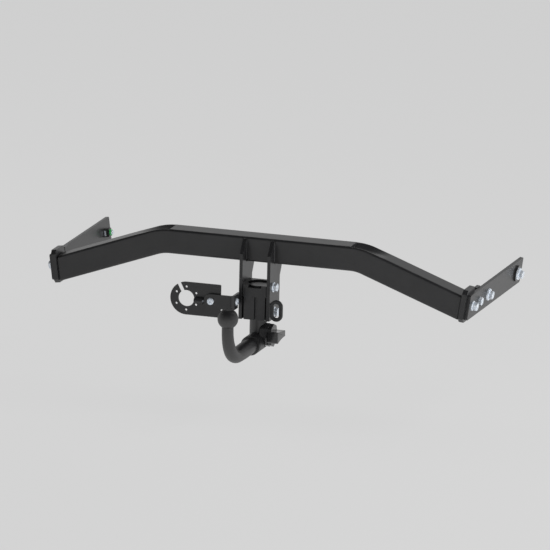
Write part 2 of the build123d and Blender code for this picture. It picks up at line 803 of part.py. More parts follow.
with BuildPart() as lock_rod:
    with BuildSketch(Plane.XZ.offset(-trunnion_y)):
        with BuildLine():
            Polyline(
                (0, foot_z + foot_half - spigot_length),
                (spigot_radius, foot_z + foot_half - spigot_length),
                (spigot_radius, foot_z + foot_half),
                (rod_radius, foot_z + foot_half),
                (rod_radius, rim_bottom),
                (head_radius, rim_bottom),
                (head_radius, rim_top),
                (head_top_radius, head_top),
                (0, head_top),
                close=True,
            )
        make_face()
    revolve(axis=Axis((0, trunnion_y, 0), (0, 0, 1)))
lock_rod.part.label = "lock_rod"
export_step(lock_rod.part, "parts/lock_rod.step")

# Lock spring under the rod's head
coil_height = spring_length - spring_wire - 2 * spring_seat
with BuildPart() as lock_spring:
    with BuildLine():
        coil = Helix(
            coil_height / spring_turns,
            coil_height,
            spring_radius,
            center=(0, trunnion_y, spring_floor + spring_seat + spring_wire / 2),
        )
    with BuildSketch(Plane(origin=coil @ 0, z_dir=coil % 0)):
        Circle(spring_wire / 2)
    sweep(is_frenet=True)
lock_spring.part.label = "lock_spring"
export_step(lock_spring.part, "parts/lock_spring.step")

for side, name in ((-1, "left_lock_ball"), (1, "right_lock_ball")):
    with BuildPart() as lock_ball:
        with Locations((side * lock_ball_x, trunnion_y, lock_ball_z)):
            Sphere(lock_ball_radius)
    lock_ball.part.label = name
    export_step(lock_ball.part, f"parts/{name}.step")

# Lug on the left cheek that carries the socket bracket
with BuildPart() as socket_lug:
    with BuildSketch(Plane.YZ.offset(-cheek_outer - weld_gap)):
        with Locations(((lug_front_y + lug_back_y) / 2, socket_z)):
            SlotOverall(lug_back_y - lug_front_y, 2 * lug_half)
        with Locations((lug_bolt_y, socket_z)):
            Circle(m8_radius + hole_gap, mode=Mode.SUBTRACT)
    extrude(amount=-lug_thick)
socket_lug.part.label = "socket_lug"
export_step(socket_lug.part, "parts/socket_lug.step")

# Socket bracket: a strip in front of the socket plate with a flange turned back to the lug
bracket_inner_x = bracket_side_x - bracket_thick
with BuildPart() as socket_bracket:
    with BuildSketch(Plane.XY.offset(socket_z - bracket_half)) as bracket_plan:
        with BuildLine():
            Polyline(
                (pivot_x - bracket_half, pivot_front),
                (bracket_side_x, pivot_front),
                (bracket_side_x, bracket_back_y),
                (bracket_inner_x, bracket_back_y),
                (bracket_inner_x, pivot_front + bracket_thick),
                (pivot_x - bracket_half, pivot_front + bracket_thick),
                close=True,
            )
        make_face()
    extrude(amount=2 * bracket_half)
    upright = socket_bracket.edges().filter_by(Axis.Z)
    bend_outside = (bracket_side_x, pivot_front, socket_z)
    fillet(upright.sort_by_distance(bend_outside)[0], bracket_bend + bracket_thick)
    upright = socket_bracket.edges().filter_by(Axis.Z)
    bend_inside = (bracket_inner_x, pivot_front + bracket_thick, socket_z)
    fillet(upright.sort_by_distance(bend_inside)[0], bracket_bend)
    # Round end about the pivot
    with BuildSketch(Plane.XZ.offset(-pivot_front)):
        with Locations((pivot_x - bracket_half / 2, socket_z)):
            Rectangle(bracket_half, 2 * bracket_half)
        with Locations((pivot_x, socket_z)):
            Circle(bracket_half, mode=Mode.SUBTRACT)
    extrude(amount=-bracket_thick, mode=Mode.SUBTRACT)
    with BuildSketch(Plane.XZ.offset(-pivot_front)):
        with Locations((pivot_x, socket_z)):
            Circle(m8_radius + slide_gap)
    extrude(amount=-bracket_thick, mode=Mode.SUBTRACT)
    with BuildSketch(Plane.YZ.offset(bracket_inner_x)):
        with Locations((lug_bolt_y, socket_z)):
            Circle(m8_radius + hole_gap)
    extrude(amount=bracket_thick, mode=Mode.SUBTRACT)
socket_bracket.part.label = "socket_bracket"
export_step(socket_bracket.part, "parts/socket_bracket.step")

# Bolt and nut that hold the bracket to the lug
lug_stack = bracket_thick + weld_gap + lug_thick
lug_bolt_plane = Plane(origin=(bracket_side_x, lug_bolt_y, socket_z), x_dir=(0, 1, 0), z_dir=(1, 0, 0))
lug_bolt_solid = button_bolt(lug_stack + 9)
with BuildPart() as lug_bolt:
    with Locations(lug_bolt_plane):
        add(lug_bolt_solid)
lug_bolt.part.label = "lug_bolt"
export_step(lug_bolt.part, "parts/lug_bolt.step")

lug_nut_plane = Plane(
    origin=(bracket_side_x - lug_stack, lug_bolt_y, socket_z), x_dir=(0, 1, 0), z_dir=(-1, 0, 0)
)
lug_nut_solid = hex_nut(m8_flats, m8_nut_height, m8_radius + seat_gap)
with BuildPart() as lug_nut:
    with Locations(lug_nut_plane):
        add(lug_nut_solid)
lug_nut.part.label = "lug_nut"
export_step(lug_nut.part, "parts/lug_nut.step")

# Pivot: bolt, spacer washer and nut
pivot_stack = bracket_thick + bracket_spacer + socket_thick
pivot_plane = Plane(origin=(pivot_x, pivot_front, socket_z), x_dir=(1, 0, 0), z_dir=(0, -1, 0))
pivot_bolt_solid = button_bolt(pivot_stack + 8)
with BuildPart() as pivot_bolt:
    with Locations(pivot_plane):
        add(pivot_bolt_solid)
pivot_bolt.part.label = "pivot_bolt"
export_step(pivot_bolt.part, "parts/pivot_bolt.step")

with BuildPart() as pivot_spacer:
    with BuildSketch(pivot_plane.offset(-bracket_thick)):
        with Locations((0, 0)):
            Circle(spacer_radius)
            Circle(m8_radius + slide_gap, mode=Mode.SUBTRACT)
    extrude(amount=-bracket_spacer + seat_gap)
pivot_spacer.part.label = "pivot_spacer"
export_step(pivot_spacer.part, "parts/pivot_spacer.step")

pivot_nut_plane = Plane(
    origin=(pivot_x, pivot_front + pivot_stack + seat_gap, socket_z), x_dir=(1, 0, 0), z_dir=(0, 1, 0)
)
pivot_nut_solid = hex_nut(m8_flats, m8_nut_height, m8_radius + seat_gap)
with BuildPart() as pivot_nut:
    with Locations(pivot_nut_plane):
        add(pivot_nut_solid)
pivot_nut.part.label = "pivot_nut"
export_step(pivot_nut.part, "parts/pivot_nut.step")

# Socket plate with its large hole, fixing holes and cable slot
with BuildPart() as socket_plate:
    with BuildSketch(Plane.XZ.offset(-socket_front_y)):
        with Locations((socket_x, socket_z)):
            Circle(socket_end_radius)
        with Locations((socket_x + socket_right / 2, socket_z)):
            Rectangle(socket_right, 2 * socket_end_radius)
        with Locations((socket_x, socket_z)):
            Circle(socket_hole_radius, mode=Mode.SUBTRACT)
            with PolarLocations(socket_pcd / 2, socket_fixings, start_angle=30):
                Circle(socket_fixing_radius, mode=Mode.SUBTRACT)
        with Locations((pivot_x, socket_z)):
            Circle(m8_radius + slide_gap, mode=Mode.SUBTRACT)
    extrude(amount=-socket_thick)
    corners = socket_plate.edges().filter_by(Axis.Y).group_by(Axis.X)[-1]
    fillet(corners, socket_corner)
    # Slot that lets the cable in
    slot_reach = (socket_hole_radius + socket_end_radius + 5) / 2
    slot_x = socket_x + slot_reach * cos(radians(cable_slot_angle))
    slot_z = socket_z + slot_reach * sin(radians(cable_slot_angle))
    with BuildSketch(Plane.XZ.offset(-socket_front_y)):
        with Locations((slot_x, slot_z)):
            Rectangle(
                socket_end_radius + 5 - socket_hole_radius + 6,
                cable_slot_width,
                rotation=cable_slot_angle,
            )
    extrude(amount=-socket_thick, mode=Mode.SUBTRACT)
socket_plate.part.label = "socket_plate"
export_step(socket_plate.part, "parts/socket_plate.step")

# Sleeve on the socket plate and the detent pin in it
sleeve_y = socket_front_y - sleeve_radius
sleeve_z = socket_z - sleeve_drop
sleeve_plane = Plane(origin=(sleeve_x, sleeve_y, sleeve_z), x_dir=(0, 1, 0), z_dir=(-1, 0, 0))
with BuildPart() as detent_sleeve:
    with BuildSketch(sleeve_plane):
        Circle(sleeve_radius)
    extrude(amount=sleeve_length)
    with BuildSketch(sleeve_plane):
        Circle(detent_radius + slide_gap)
    extrude(amount=sleeve_length - sleeve_wall, mode=Mode.SUBTRACT)
    with BuildSketch(sleeve_plane.offset(sleeve_wall)):
        Circle(sleeve_bore)
    extrude(amount=sleeve_length - 2 * sleeve_wall, mode=Mode.SUBTRACT)
detent_sleeve.part.label = "detent_sleeve"
export_step(detent_sleeve.part, "parts/detent_sleeve.step")

with BuildPart() as detent_pin:
    with BuildSketch(Plane(origin=(detent_tip, sleeve_y, sleeve_z), x_dir=(0, 1, 0), z_dir=(-1, 0, 0))):
        Circle(detent_radius)
    extrude(amount=detent_length)
    with BuildSketch(sleeve_plane.offset(sleeve_wall + 0.1)):
        Circle(detent_collar)
    extrude(amount=3)
detent_pin.part.label = "detent_pin"
export_step(detent_pin.part, "parts/detent_pin.step")
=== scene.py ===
import json
import math

import bmesh
import bpy
import numpy as np
from mathutils import Matrix, Vector


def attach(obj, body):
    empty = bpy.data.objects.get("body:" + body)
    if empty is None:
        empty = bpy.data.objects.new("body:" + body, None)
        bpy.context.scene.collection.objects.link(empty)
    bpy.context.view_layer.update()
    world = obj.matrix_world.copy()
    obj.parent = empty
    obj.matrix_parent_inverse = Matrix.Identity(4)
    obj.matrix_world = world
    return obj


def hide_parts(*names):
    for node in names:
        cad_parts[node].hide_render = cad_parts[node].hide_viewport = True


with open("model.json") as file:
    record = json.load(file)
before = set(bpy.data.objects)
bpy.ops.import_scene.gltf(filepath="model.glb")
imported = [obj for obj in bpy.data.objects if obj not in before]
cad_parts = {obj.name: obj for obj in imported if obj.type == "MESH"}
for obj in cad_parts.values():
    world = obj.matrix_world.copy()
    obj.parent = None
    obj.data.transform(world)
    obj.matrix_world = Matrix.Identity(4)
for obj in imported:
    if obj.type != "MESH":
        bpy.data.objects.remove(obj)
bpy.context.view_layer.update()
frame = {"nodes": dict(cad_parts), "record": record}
print("frame loaded")


# sRGB hex to the linear colour that a shader wants
def hexToLinear(code):
    parts = [int(code[i:i + 2], 16) / 255 for i in (1, 3, 5)]
    return tuple(p / 12.92 if p <= 0.04045 else ((p + 0.055) / 1.055) ** 2.4 for p in parts) + (1.0,)


# Adds one node, fills its sockets or properties, and links what feeds it
def addNode(tree, kind, settings=None, links=None):
    node = tree.nodes.new(kind)
    for name, value in (settings or {}).items():
        if isinstance(name, int) or name in node.inputs:
            node.inputs[name].default_value = value
        else:
            setattr(node, name, value)
    for name, source in (links or {}).items():
        tree.links.new(source, node.inputs[name])
    return node


# Gives a material or a world an empty node tree
def emptyTree(owner):
    owner.use_nodes = True
    owner.node_tree.nodes.clear()
    return owner.node_tree


# Makes an object of a mesh, a lamp or a camera and puts it in the scene
def addObject(name, data):
    newObject = bpy.data.objects.new(name, data)
    bpy.context.scene.collection.objects.link(newObject)
    return newObject


# Satin powder coat baked on steel: nearly black, with the fine orange peel of the melted powder
powderCoat = {
    "name": "powderCoatedSteel", "dark": "#1d1d1e", "light": "#222223",
    "cloudMm": 45, "peelMm": 1.6, "peelHeight": 0.00003,
    "roughLow": 0.30, "roughHigh": 0.36, "metal": 0.0, "ior": 1.56,
}
# Electro-coated forging: darker than the powder coat, with a broad soft shine over a faint hammered wave.
# Its IOR is above a paint's 1.5, because that matches the strength of the shine
forgedCoat = {
    "name": "coatedForging", "dark": "#111112", "light": "#161617",
    "cloudMm": 30, "peelMm": 3.0, "peelHeight": 0.00003,
    "roughLow": 0.44, "roughHigh": 0.50, "metal": 0.0, "ior": 1.85,
}
# Glass-filled nylon from a polished mould: near black, with sharp reflections on its flat sides
mouldedNylon = {
    "name": "mouldedNylon", "dark": "#1f1f20", "light": "#242425",
    "cloudMm": 25, "peelMm": 0.9, "peelHeight": 0.000004,
    "roughLow": 0.10, "roughHigh": 0.14, "metal": 0.0, "ior": 1.60,
}
# Blue-white passivated zinc on cold-formed steel: a cool bright metal. The cloudy bloom of the passivation
# scatters about a third of the light, so it isn't fully metallic
zincPlate = {
    "name": "zincPlatedSteel", "dark": "#dae4f0", "light": "#f2f7fd",
    "cloudMm": 5, "peelMm": 0.7, "peelHeight": 0.000006,
    "roughLow": 0.26, "roughHigh": 0.34, "metal": 0.68,
}
# Ground and oiled steel inside the lock: a plain grey metal with soft reflections
groundSteel = {
    "name": "groundSteel", "dark": "#8e9094", "light": "#b6b8bc",
    "cloudMm": 4, "peelMm": 0.5, "peelHeight": 0.00001,
    "roughLow": 0.25, "roughHigh": 0.35, "metal": 1.0,
}
# Dyed nylon ring that grips the thread: a clear mid green with a waxy shine
greenNylon = {
    "name": "greenNylonInsert", "dark": "#3fae5c", "light": "#56c873",
    "cloudMm": 6, "peelMm": 0.6, "peelHeight": 0.00002,
    "roughLow": 0.35, "roughHigh": 0.45, "metal": 0.0, "ior": 1.53,
}
# How both noises are drawn on every finish
noise = {"cloudDetail": 4.0, "peelDetail": 2.0, "darkAt": 0.35, "lightAt": 0.65, "bumpStrength": 0.6}


# One surface from two noises on Object coordinates, each with scale = 1000 / its size in millimetres. The
# broad cloud gives colour and sheen, and the fine peel gives the bump, at its real size, for close views
def makeMaterial(finish):
    material = bpy.data.materials.new(finish["name"])
    tree = emptyTree(material)
    place = addNode(tree, "ShaderNodeTexCoord").outputs["Object"]
    cloud = addNode(
        tree, "ShaderNodeTexNoise",
        {"Scale": 1000 / finish["cloudMm"], "Detail": noise["cloudDetail"]}, {"Vector": place},
    )
    peel = addNode(
        tree, "ShaderNodeTexNoise",
        {"Scale": 1000 / finish["peelMm"], "Detail": noise["peelDetail"]}, {"Vector": place},
    )
    colour = addNode(tree, "ShaderNodeValToRGB", None, {"Fac": cloud.outputs["Fac"]})
    for k, tone in enumerate(("dark", "light")):
        stop = colour.color_ramp.elements[k]
        stop.position = noise[tone + "At"]
        stop.color = hexToLinear(finish[tone])
    rough = addNode(
        tree, "ShaderNodeMapRange",
        {"To Min": finish["roughLow"], "To Max": finish["roughHigh"]}, {"Value": cloud.outputs["Fac"]},
    )
    bump = addNode(
        tree, "ShaderNodeBump",
        {"Distance": finish["peelHeight"], "Strength": noise["bumpStrength"]},
        {"Height": peel.outputs["Fac"]},
    )
    sockets = {"Metallic": finish["metal"]}
    if "ior" in finish:  # a metal keeps the default
        sockets["IOR"] = finish["ior"]
    shader = addNode(
        tree, "ShaderNodeBsdfPrincipled", sockets,
        {
            "Base Color": colour.outputs["Color"],
            "Roughness": rough.outputs["Result"],
            "Normal": bump.outputs["Normal"],
        },
    )
    addNode(tree, "ShaderNodeOutputMaterial", None, {"Surface": shader.outputs["BSDF"]})
    return material


slotFinish = {
    "powder_coat": powderCoat, "forged_coat": forgedCoat, "black_plastic": mouldedNylon,
    "zinc_plate": zincPlate, "bare_steel": groundSteel, "green_nylon": greenNylon,
}
materials = {slot: makeMaterial(finish) for slot, finish in slotFinish.items()}
nodeSlot = {part["node"]: part["material_slot"] for part in frame["record"]["subparts"]}
for nodeName, nodeObject in frame["nodes"].items():
    nodeObject.data.materials.clear()
    nodeObject.data.materials.append(materials[nodeSlot[nodeName]])
print("materials made")

# The camera stands as the photograph's did: a long lens 36 m away, 17.75 degrees to the right of the
# centre line and 13.7 above level. The ball's place in the photograph fixes where it points
cameraView = {
    "azimuth": 17.75, "elevation": 13.70, "roll": 1.28, "distance": 36.3, "filmMm": 36.0, "clipEnd": 100,
    "imageSize": 550, "pixelsPerMetre": 415.73, "scaleAt": (0.0, -0.13, 0.03),
    "ball": (0.0, -0.398, -0.024), "ballPixel": (227.08, 319.96),
}


def placeCamera(view):
    azimuth, elevation, roll = (math.radians(view[k]) for k in ("azimuth", "elevation", "roll"))
    forward = Vector((
        -math.sin(azimuth) * math.cos(elevation),
        math.cos(azimuth) * math.cos(elevation),
        -math.sin(elevation),
    ))
    levelRight = Vector((math.cos(azimuth), math.sin(azimuth), 0))
    levelDown = forward.cross(levelRight)
    right = math.cos(roll) * levelRight - math.sin(roll) * levelDown
    down = math.sin(roll) * levelRight + math.cos(roll) * levelDown
    half = view["imageSize"] / 2
    ball, anchor = Vector(view["ball"]), Vector(view["scaleAt"])
    nearer = 1 + (ball - anchor).dot(forward) / view["distance"]  # the ball stands in front of the beam
    centre = (
        ball
        + right * ((half - view["ballPixel"][0]) / view["pixelsPerMetre"] * nearer)
        + down * ((half - view["ballPixel"][1]) / view["pixelsPerMetre"] * nearer)
    )
    spot = centre - forward * (view["distance"] + (centre - anchor).dot(forward))
    data = bpy.data.cameras.new("photoCamera")
    data.sensor_width = view["filmMm"]
    data.lens = view["pixelsPerMetre"] * view["distance"] / view["imageSize"] * view["filmMm"]
    data.clip_end = view["clipEnd"]
    camera = addObject("photoCamera", data)
    camera.matrix_world = Matrix((
        (right.x, -down.x, -forward.x, spot.x),
        (right.y, -down.y, -forward.y, spot.y),
        (right.z, -down.z, -forward.z, spot.z),
        (0, 0, 0, 1),
    ))
    bpy.context.scene.camera = camera


placeCamera(cameraView)
print("camera placed")

# A pale floor that the dropped neck still clears, a sky that darkens overhead and four broad lamps
studio = {
    "floorHalf": 14.0, "floorHeight": -0.295, "floorHex": "#d5d5d5", "floorRough": 0.9, "floorFlat": 0.92,
    "grainPerMetre": 300.0, "grainHeight": 0.0001, "grainStrength": 0.1,
    "skySteps": ((0.0, 0.60), (0.44, 0.56), (0.54, 0.08), (0.9, 0.05)),  # (height on the sky, level)
    "rearSky": 0.42, "rearFrom": -0.6, "rearTo": 0.4,
    "lampAim": (0, -0.1, 0),
    "lamps": (
        {"name": "highLamp", "place": (2.4, 0.5, 2.4), "size": 2.0, "power": 75},
        {"name": "rightLamp", "place": (3.0, -0.9, 0.7), "size": 2.0, "power": 55},
        {"name": "frontLamp", "place": (1.0, -3.2, 0.45), "size": 2.4, "power": 36},
        {"name": "leftLamp", "place": (-2.8, 0.4, 1.8), "size": 2.0, "power": 50},
    ),
}


# A square floor. The camera and the reflections see mostly its flat colour, and the rest keeps the shadow
def layFloor(settings):
    half, height = settings["floorHalf"], settings["floorHeight"]
    corners = [(x * half, y * half, height) for x, y in ((-1, -1), (1, -1), (1, 1), (-1, 1))]
    mesh = bpy.data.meshes.new("floor")
    mesh.from_pydata(corners, [], [(0, 1, 2, 3)])
    floor = addObject("floor", mesh)
    material = bpy.data.materials.new("paleFloor")
    tree = emptyTree(material)
    place = addNode(tree, "ShaderNodeTexCoord").outputs["Object"]
    grain = addNode(tree, "ShaderNodeTexNoise", {"Scale": settings["grainPerMetre"]}, {"Vector": place})
    bump = addNode(
        tree, "ShaderNodeBump",
        {"Distance": settings["grainHeight"], "Strength": settings["grainStrength"]},
        {"Height": grain.outputs["Fac"]},
    )
    colour = hexToLinear(settings["floorHex"])
    shader = addNode(
        tree, "ShaderNodeBsdfPrincipled",
        {"Base Color": colour, "Roughness": settings["floorRough"]}, {"Normal": bump.outputs["Normal"]},
    )
    flat = addNode(tree, "ShaderNodeEmission", {"Color": colour, "Strength": 1.0})
    path = addNode(tree, "ShaderNodeLightPath")
    direct = addNode(
        tree, "ShaderNodeMath", {"operation": "MAXIMUM"},
        {0: path.outputs["Is Camera Ray"], 1: path.outputs["Is Glossy Ray"]},
    )
    shown = addNode(
        tree, "ShaderNodeMath", {"operation": "MAXIMUM"},
        {0: direct.outputs[0], 1: path.outputs["Is Transmission Ray"]},
    )
    share = addNode(
        tree, "ShaderNodeMath", {"operation": "MULTIPLY", 1: settings["floorFlat"]},
        {0: shown.outputs[0]},
    )
    mixed = addNode(
        tree, "ShaderNodeMixShader", None,
        {0: share.outputs[0], 1: shader.outputs[0], 2: flat.outputs[0]},
    )
    addNode(tree, "ShaderNodeOutputMaterial", None, {"Surface": mixed.outputs[0]})
    mesh.materials.append(material)


# The sky is bright at the horizon and dark overhead, which draws the dark line along each upper edge. It is
# also dimmer behind the vehicle, toward -Y, which keeps the ball and the lock dark
def hangSky(settings):
    world = bpy.data.worlds.new("studioWorld")
    bpy.context.scene.world = world
    tree = emptyTree(world)
    way = addNode(tree, "ShaderNodeTexCoord").outputs["Generated"]
    parts = addNode(tree, "ShaderNodeSeparateXYZ", None, {"Vector": way})
    ramp = addNode(tree, "ShaderNodeValToRGB", None, {"Fac": parts.outputs["Z"]})
    stops = ramp.color_ramp.elements
    stops.remove(stops[1])
    for k, (height, level) in enumerate(settings["skySteps"]):
        stop = stops.new(height) if k else stops[0]
        stop.position = height
        stop.color = (level, level, level, 1)
    share = addNode(
        tree, "ShaderNodeMapRange",
        {"From Min": settings["rearFrom"], "From Max": settings["rearTo"], "To Min": settings["rearSky"]},
        {"Value": parts.outputs["Y"]},
    )
    light = addNode(
        tree, "ShaderNodeBackground", None,
        {"Color": ramp.outputs["Color"], "Strength": share.outputs["Result"]},
    )
    addNode(tree, "ShaderNodeOutputWorld", None, {"Surface": light.outputs[0]})


# Round lamps that no reflection shows: the shine on the black steel comes from the sky and the floor alone
def hangLamps(settings):
    for lamp in settings["lamps"]:
        data = bpy.data.lights.new(lamp["name"], "AREA")
        data.shape = "DISK"
        data.size = lamp["size"]
        data.energy = lamp["power"]
        lampObject = addObject(lamp["name"], data)
        lampObject.location = lamp["place"]
        aim = Vector(settings["lampAim"]) - Vector(lamp["place"])
        lampObject.rotation_euler = aim.to_track_quat("-Z", "Y").to_euler()
        lampObject.visible_glossy = False


layFloor(studio)
hangSky(studio)
hangLamps(studio)
bpy.context.scene.view_settings.view_transform = "Standard"
print("studio built")


# Puts closed grids of points (metres) into one mesh: columns meet round, first and last rings get a lid
def surfacePiece(name, grids, body, slot, sharp=35):
    points, quads, count = [], [], 0
    for grid in grids:
        rows, columns = grid.shape[:2]
        index = count + np.arange(rows * columns).reshape(rows, columns)
        beside = np.roll(index, -1, axis=1)
        quads += np.stack([index[:-1], beside[:-1], beside[1:], index[1:]], -1).reshape(-1, 4).tolist()
        quads += [index[0][::-1].tolist(), index[-1].tolist()]
        points += grid.reshape(-1, 3).tolist()
        count += rows * columns
    mesh = bpy.data.meshes.new(name)
    mesh.from_pydata(points, [], quads)
    form = bmesh.new()
    form.from_mesh(mesh)
    bmesh.ops.remove_doubles(form, verts=form.verts, dist=1e-6)  # a thousandth of a millimetre
    bmesh.ops.recalc_face_normals(form, faces=form.faces)
    form.to_mesh(mesh)
    form.free()
    mesh.polygons.foreach_set("use_smooth", [True] * len(mesh.polygons))
    mesh.set_sharp_from_angle(angle=math.radians(sharp))
    mesh.materials.append(materials[slot])
    piece = addObject(name, mesh)
    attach(piece, body)
    return piece


# Angles of a full turn, without the last, which is the first again
def fullTurn(steps):
    return np.linspace(0, 2 * np.pi, steps, endpoint=False)


# Carries local millimetres to their place in metres:
# point = place + x * xWay + y * (zWay cross xWay) + z * zWay
def carried(points, place, xWay, zWay):
    xAxis, zAxis = np.array(xWay, float), np.array(zWay, float)
    basis = np.array([xAxis, np.cross(zAxis, xAxis), zAxis])
    return (points @ basis + np.array(place)) / 1000


# The beam ends at endX, on a plane that leans outward at the top, and the outer faces of the side plates
# stand plateOut beyond it. Sizes here and below are in millimetres
sides = {"endX": 509.0, "lean": math.radians(8.0), "boltRise": 3.0, "plateOut": 20.0, "washer": 4.2}


# A bolt's place and directions: point = (side * endX, along, 0) + out * outward + rise * upward
def onSide(side, along, out):
    outward = np.array([side * math.cos(sides["lean"]), 0, -math.sin(sides["lean"])])
    upward = np.array([side * math.sin(sides["lean"]), 0, math.cos(sides["lean"])])
    point = np.array([side * sides["endX"], along, 0]) + out * outward + sides["boltRise"] * upward
    return point, (0, side, 0), outward


# The same place on the left and on the right side plate
def bothSides(along, out=sides["plateOut"]):
    return [onSide(side, along, out) for side in (-1, 1)]


# Turned form from rings of (height, radius): point = (radius * cos(angle), radius * sin(angle), height)
def turnedForm(rings, angles):
    heights, radii = (np.stack([part * np.ones(len(angles)) for part in parts]) for parts in zip(*rings))
    return np.stack([radii * np.cos(angles), radii * np.sin(angles), heights], -1)


# Hexagon: radius = half flats / cos(angle from the middle of the nearest flat)
def hexagonRadius(halfFlats, angles):
    return halfFlats / np.cos((angles + np.pi / 6) % (np.pi / 3) - np.pi / 6)


chassisHead = {"flats": 18.0, "head": 13.0, "brim": 15.0, "brimTall": 5.0}
flangeHead = {"flats": 18.0, "head": 13.0, "brim": 12.5, "brimTall": 3.0}
cheekHead = dict(flangeHead, head=11.0)
plainHead = {"flats": 18.5, "head": 8.0, "brim": 0, "brimTall": 0}
buttonHead = {
    "head": 4.4, "brim": 8.6, "brimTall": 1.4, "crown": 4.6,
    "key": 5.0, "keyChamfer": 0.25, "keyEdge": 0.3, "keyDeep": 2.4, "keyEnd": 2.6, "domeRings": 9,
}
headForm = {
    "skirt": ((0.0, 0.0), (0.65, 0.3), (0.85, 1.0)),  # (share of the brim's thickness, inset from its rim)
    "chamferDepths": (1.6, 1.2, 0.8, 0.5, 0.25, 0.0), "chamferInset": 0.5, "chamferSlope": 1.9,
    "crownInset": 0.9, "crownShare": 0.5, "pole": 0.02,
}
threadForm = {"ringsPerPitch": 7, "depth": 0.42, "runOut": 1.2, "pointIn": 0.14}


# Bolt head: a flanged one starts with the brim's rounded rim, then the hexagon stands up, and its chamfer
# takes the smaller of the hexagon's radius and half flats - inset + slope * depth below the crown
def headRings(bolt, steps=72):
    half, top, brim, brimTall = bolt["flats"] / 2, bolt["head"], bolt["brim"], bolt["brimTall"]
    angles = fullTurn(steps)
    hexagon = hexagonRadius(half, angles)
    rings = []
    if brimTall:
        rings += [(brimTall * share, brim - inset) for share, inset in headForm["skirt"]]
    rings.append((brimTall, hexagon))
    for depth in headForm["chamferDepths"]:
        cone = half - headForm["chamferInset"] + headForm["chamferSlope"] * depth
        rings.append((top - depth, np.minimum(cone, hexagon)))
    rings += [(top, half - headForm["crownInset"]), (top, half * headForm["crownShare"])]
    rings.append((top, headForm["pole"]))
    return turnedForm(rings, angles)


# Button head: a short rim, then a dome on a quarter ellipse, height = rim + rise * sin(turn) and
# radius = crown + width * cos(turn), and a hexagon socket sunk in its flat top
def buttonRings(bolt, steps=72):
    top, brim, brimTall, crown = (bolt[k] for k in ("head", "brim", "brimTall", "crown"))
    angles = fullTurn(steps)
    key = hexagonRadius(bolt["key"] / 2, angles)
    rings = [(0.0, brim)]
    for t in np.linspace(0, np.pi / 2, bolt["domeRings"]):
        rings.append((brimTall + (top - brimTall) * math.sin(t), crown + (brim - crown) * math.cos(t)))
    rings += [(top, key + bolt["keyChamfer"]), (top - bolt["keyEdge"], key)]
    rings += [(top - bolt["keyDeep"], key), (top - bolt["keyEnd"], headForm["pole"])]
    return turnedForm(rings, angles)


# Thread: radius = outer - depth * pitch * triangle wave of (height / pitch + angle / full turn), and the
# run-out at the end draws in to the point
def threadRings(radius, start, stop, pitch, steps=36):
    angles = fullTurn(steps)
    count = int(abs(stop - start) / pitch * threadForm["ringsPerPitch"])
    heights = np.linspace(start, stop, count)[:, None]
    wave = np.abs(((heights / pitch + angles / (2 * np.pi)) % 1) * 2 - 1)
    run = np.clip(np.abs(heights - stop) / threadForm["runOut"], 0, 1)
    radii = radius - pitch * threadForm["depth"] * wave - (1 - run) * radius * threadForm["pointIn"]
    return turnedForm(zip(heights, radii), angles)


# Plain shank: the same radius at both ends
def plainRings(radius, start, stop, steps=36):
    return turnedForm([(start, radius), (stop, radius)], fullTurn(steps))


# Every bolt: node, head, where it stands, and its shank as pieces of (radius, start, stop, pitch or None)
boltSets = {
    "flange_bolts": (flangeHead, bothSides(-126.0), [(6.0, 0.2, -18.0, None)]),
    "locating_bolts": (plainHead, bothSides(-71.0), [(5.0, 0.2, -16.0, None)]),
    "front_chassis_bolts": (
        chassisHead, bothSides(0.0),
        [(6.4, 0.2, -8.2, None), (6.0, -8.1, -30.0, 1.75)],
    ),
    "rear_chassis_bolts": (
        chassisHead, bothSides(231.0, sides["plateOut"] + sides["washer"]),
        [(6.0, 0.2, -27.7, None), (6.0, -27.6, -33.7, 1.75)],
    ),
    "receiver_bolts": (
        cheekHead,
        [((39.0, y, z), (0, 1, 0), (1, 0, 0)) for y, z in ((-164.0, 7.5), (-154.5, -55.0))],
        [(6.0, 0.2, -11.4, None)],
    ),
    "lug_bolt": (
        buttonHead,
        [((-35.0, -220.0, -23.2), (0, 1, 0), (1, 0, 0))],
        [(4.0, 0.2, -12.0, None), (4.0, -11.9, -21.0, 1.25)],
    ),
    "pivot_bolt": (
        buttonHead,
        [((-94.2, -240.0, -23.2), (1, 0, 0), (0, -1, 0))],
        [(4.0, 0.2, -12.0, None), (4.0, -11.9, -19.5, 1.25)],
    ),
}
for node, (head, places, shanks) in boltSets.items():
    rings = [buttonRings(head) if "key" in head else headRings(head)]
    for radius, start, stop, pitch in shanks:
        rings.append(threadRings(radius, start, stop, pitch) if pitch else plainRings(radius, start, stop))
    grids = [carried(ring, *place) for place in places for ring in rings]
    piece = surfacePiece(node + "_turned", grids, "frame", "zinc_plate")
    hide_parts(node)
print("bolts turned")

# Crossbeam: a rounded square carried along a line that is level, bends on an arc and runs down straight.
# Where it is bent, the upper wall is drawn in: depth * (1 - (across / hollowHalf)^hollowPower), which eases
# in over the edge at the start of the bend, and out again over the fade, from the middle of the bend
beam = {
    "half": 30.0, "corner": 5.5, "bendX": 248.5, "bendRadius": 116.0, "angle": math.radians(20.1),
    "height": 94.2, "middleY": -130.5, "gap": 0.02,
    "drawnIn": 9.0, "edge": 1.0, "fade": 70.0, "hollowHalf": 28.0, "hollowPower": 1.3,
    "seamWide": 3.5, "seamDeep": 1.8, "seamStep": 0.001,
    "levelRows": 8, "bendRows": 40, "edgeRows": 8, "armNear": 0.45, "armNearRows": 22, "armFarRows": 5,
}


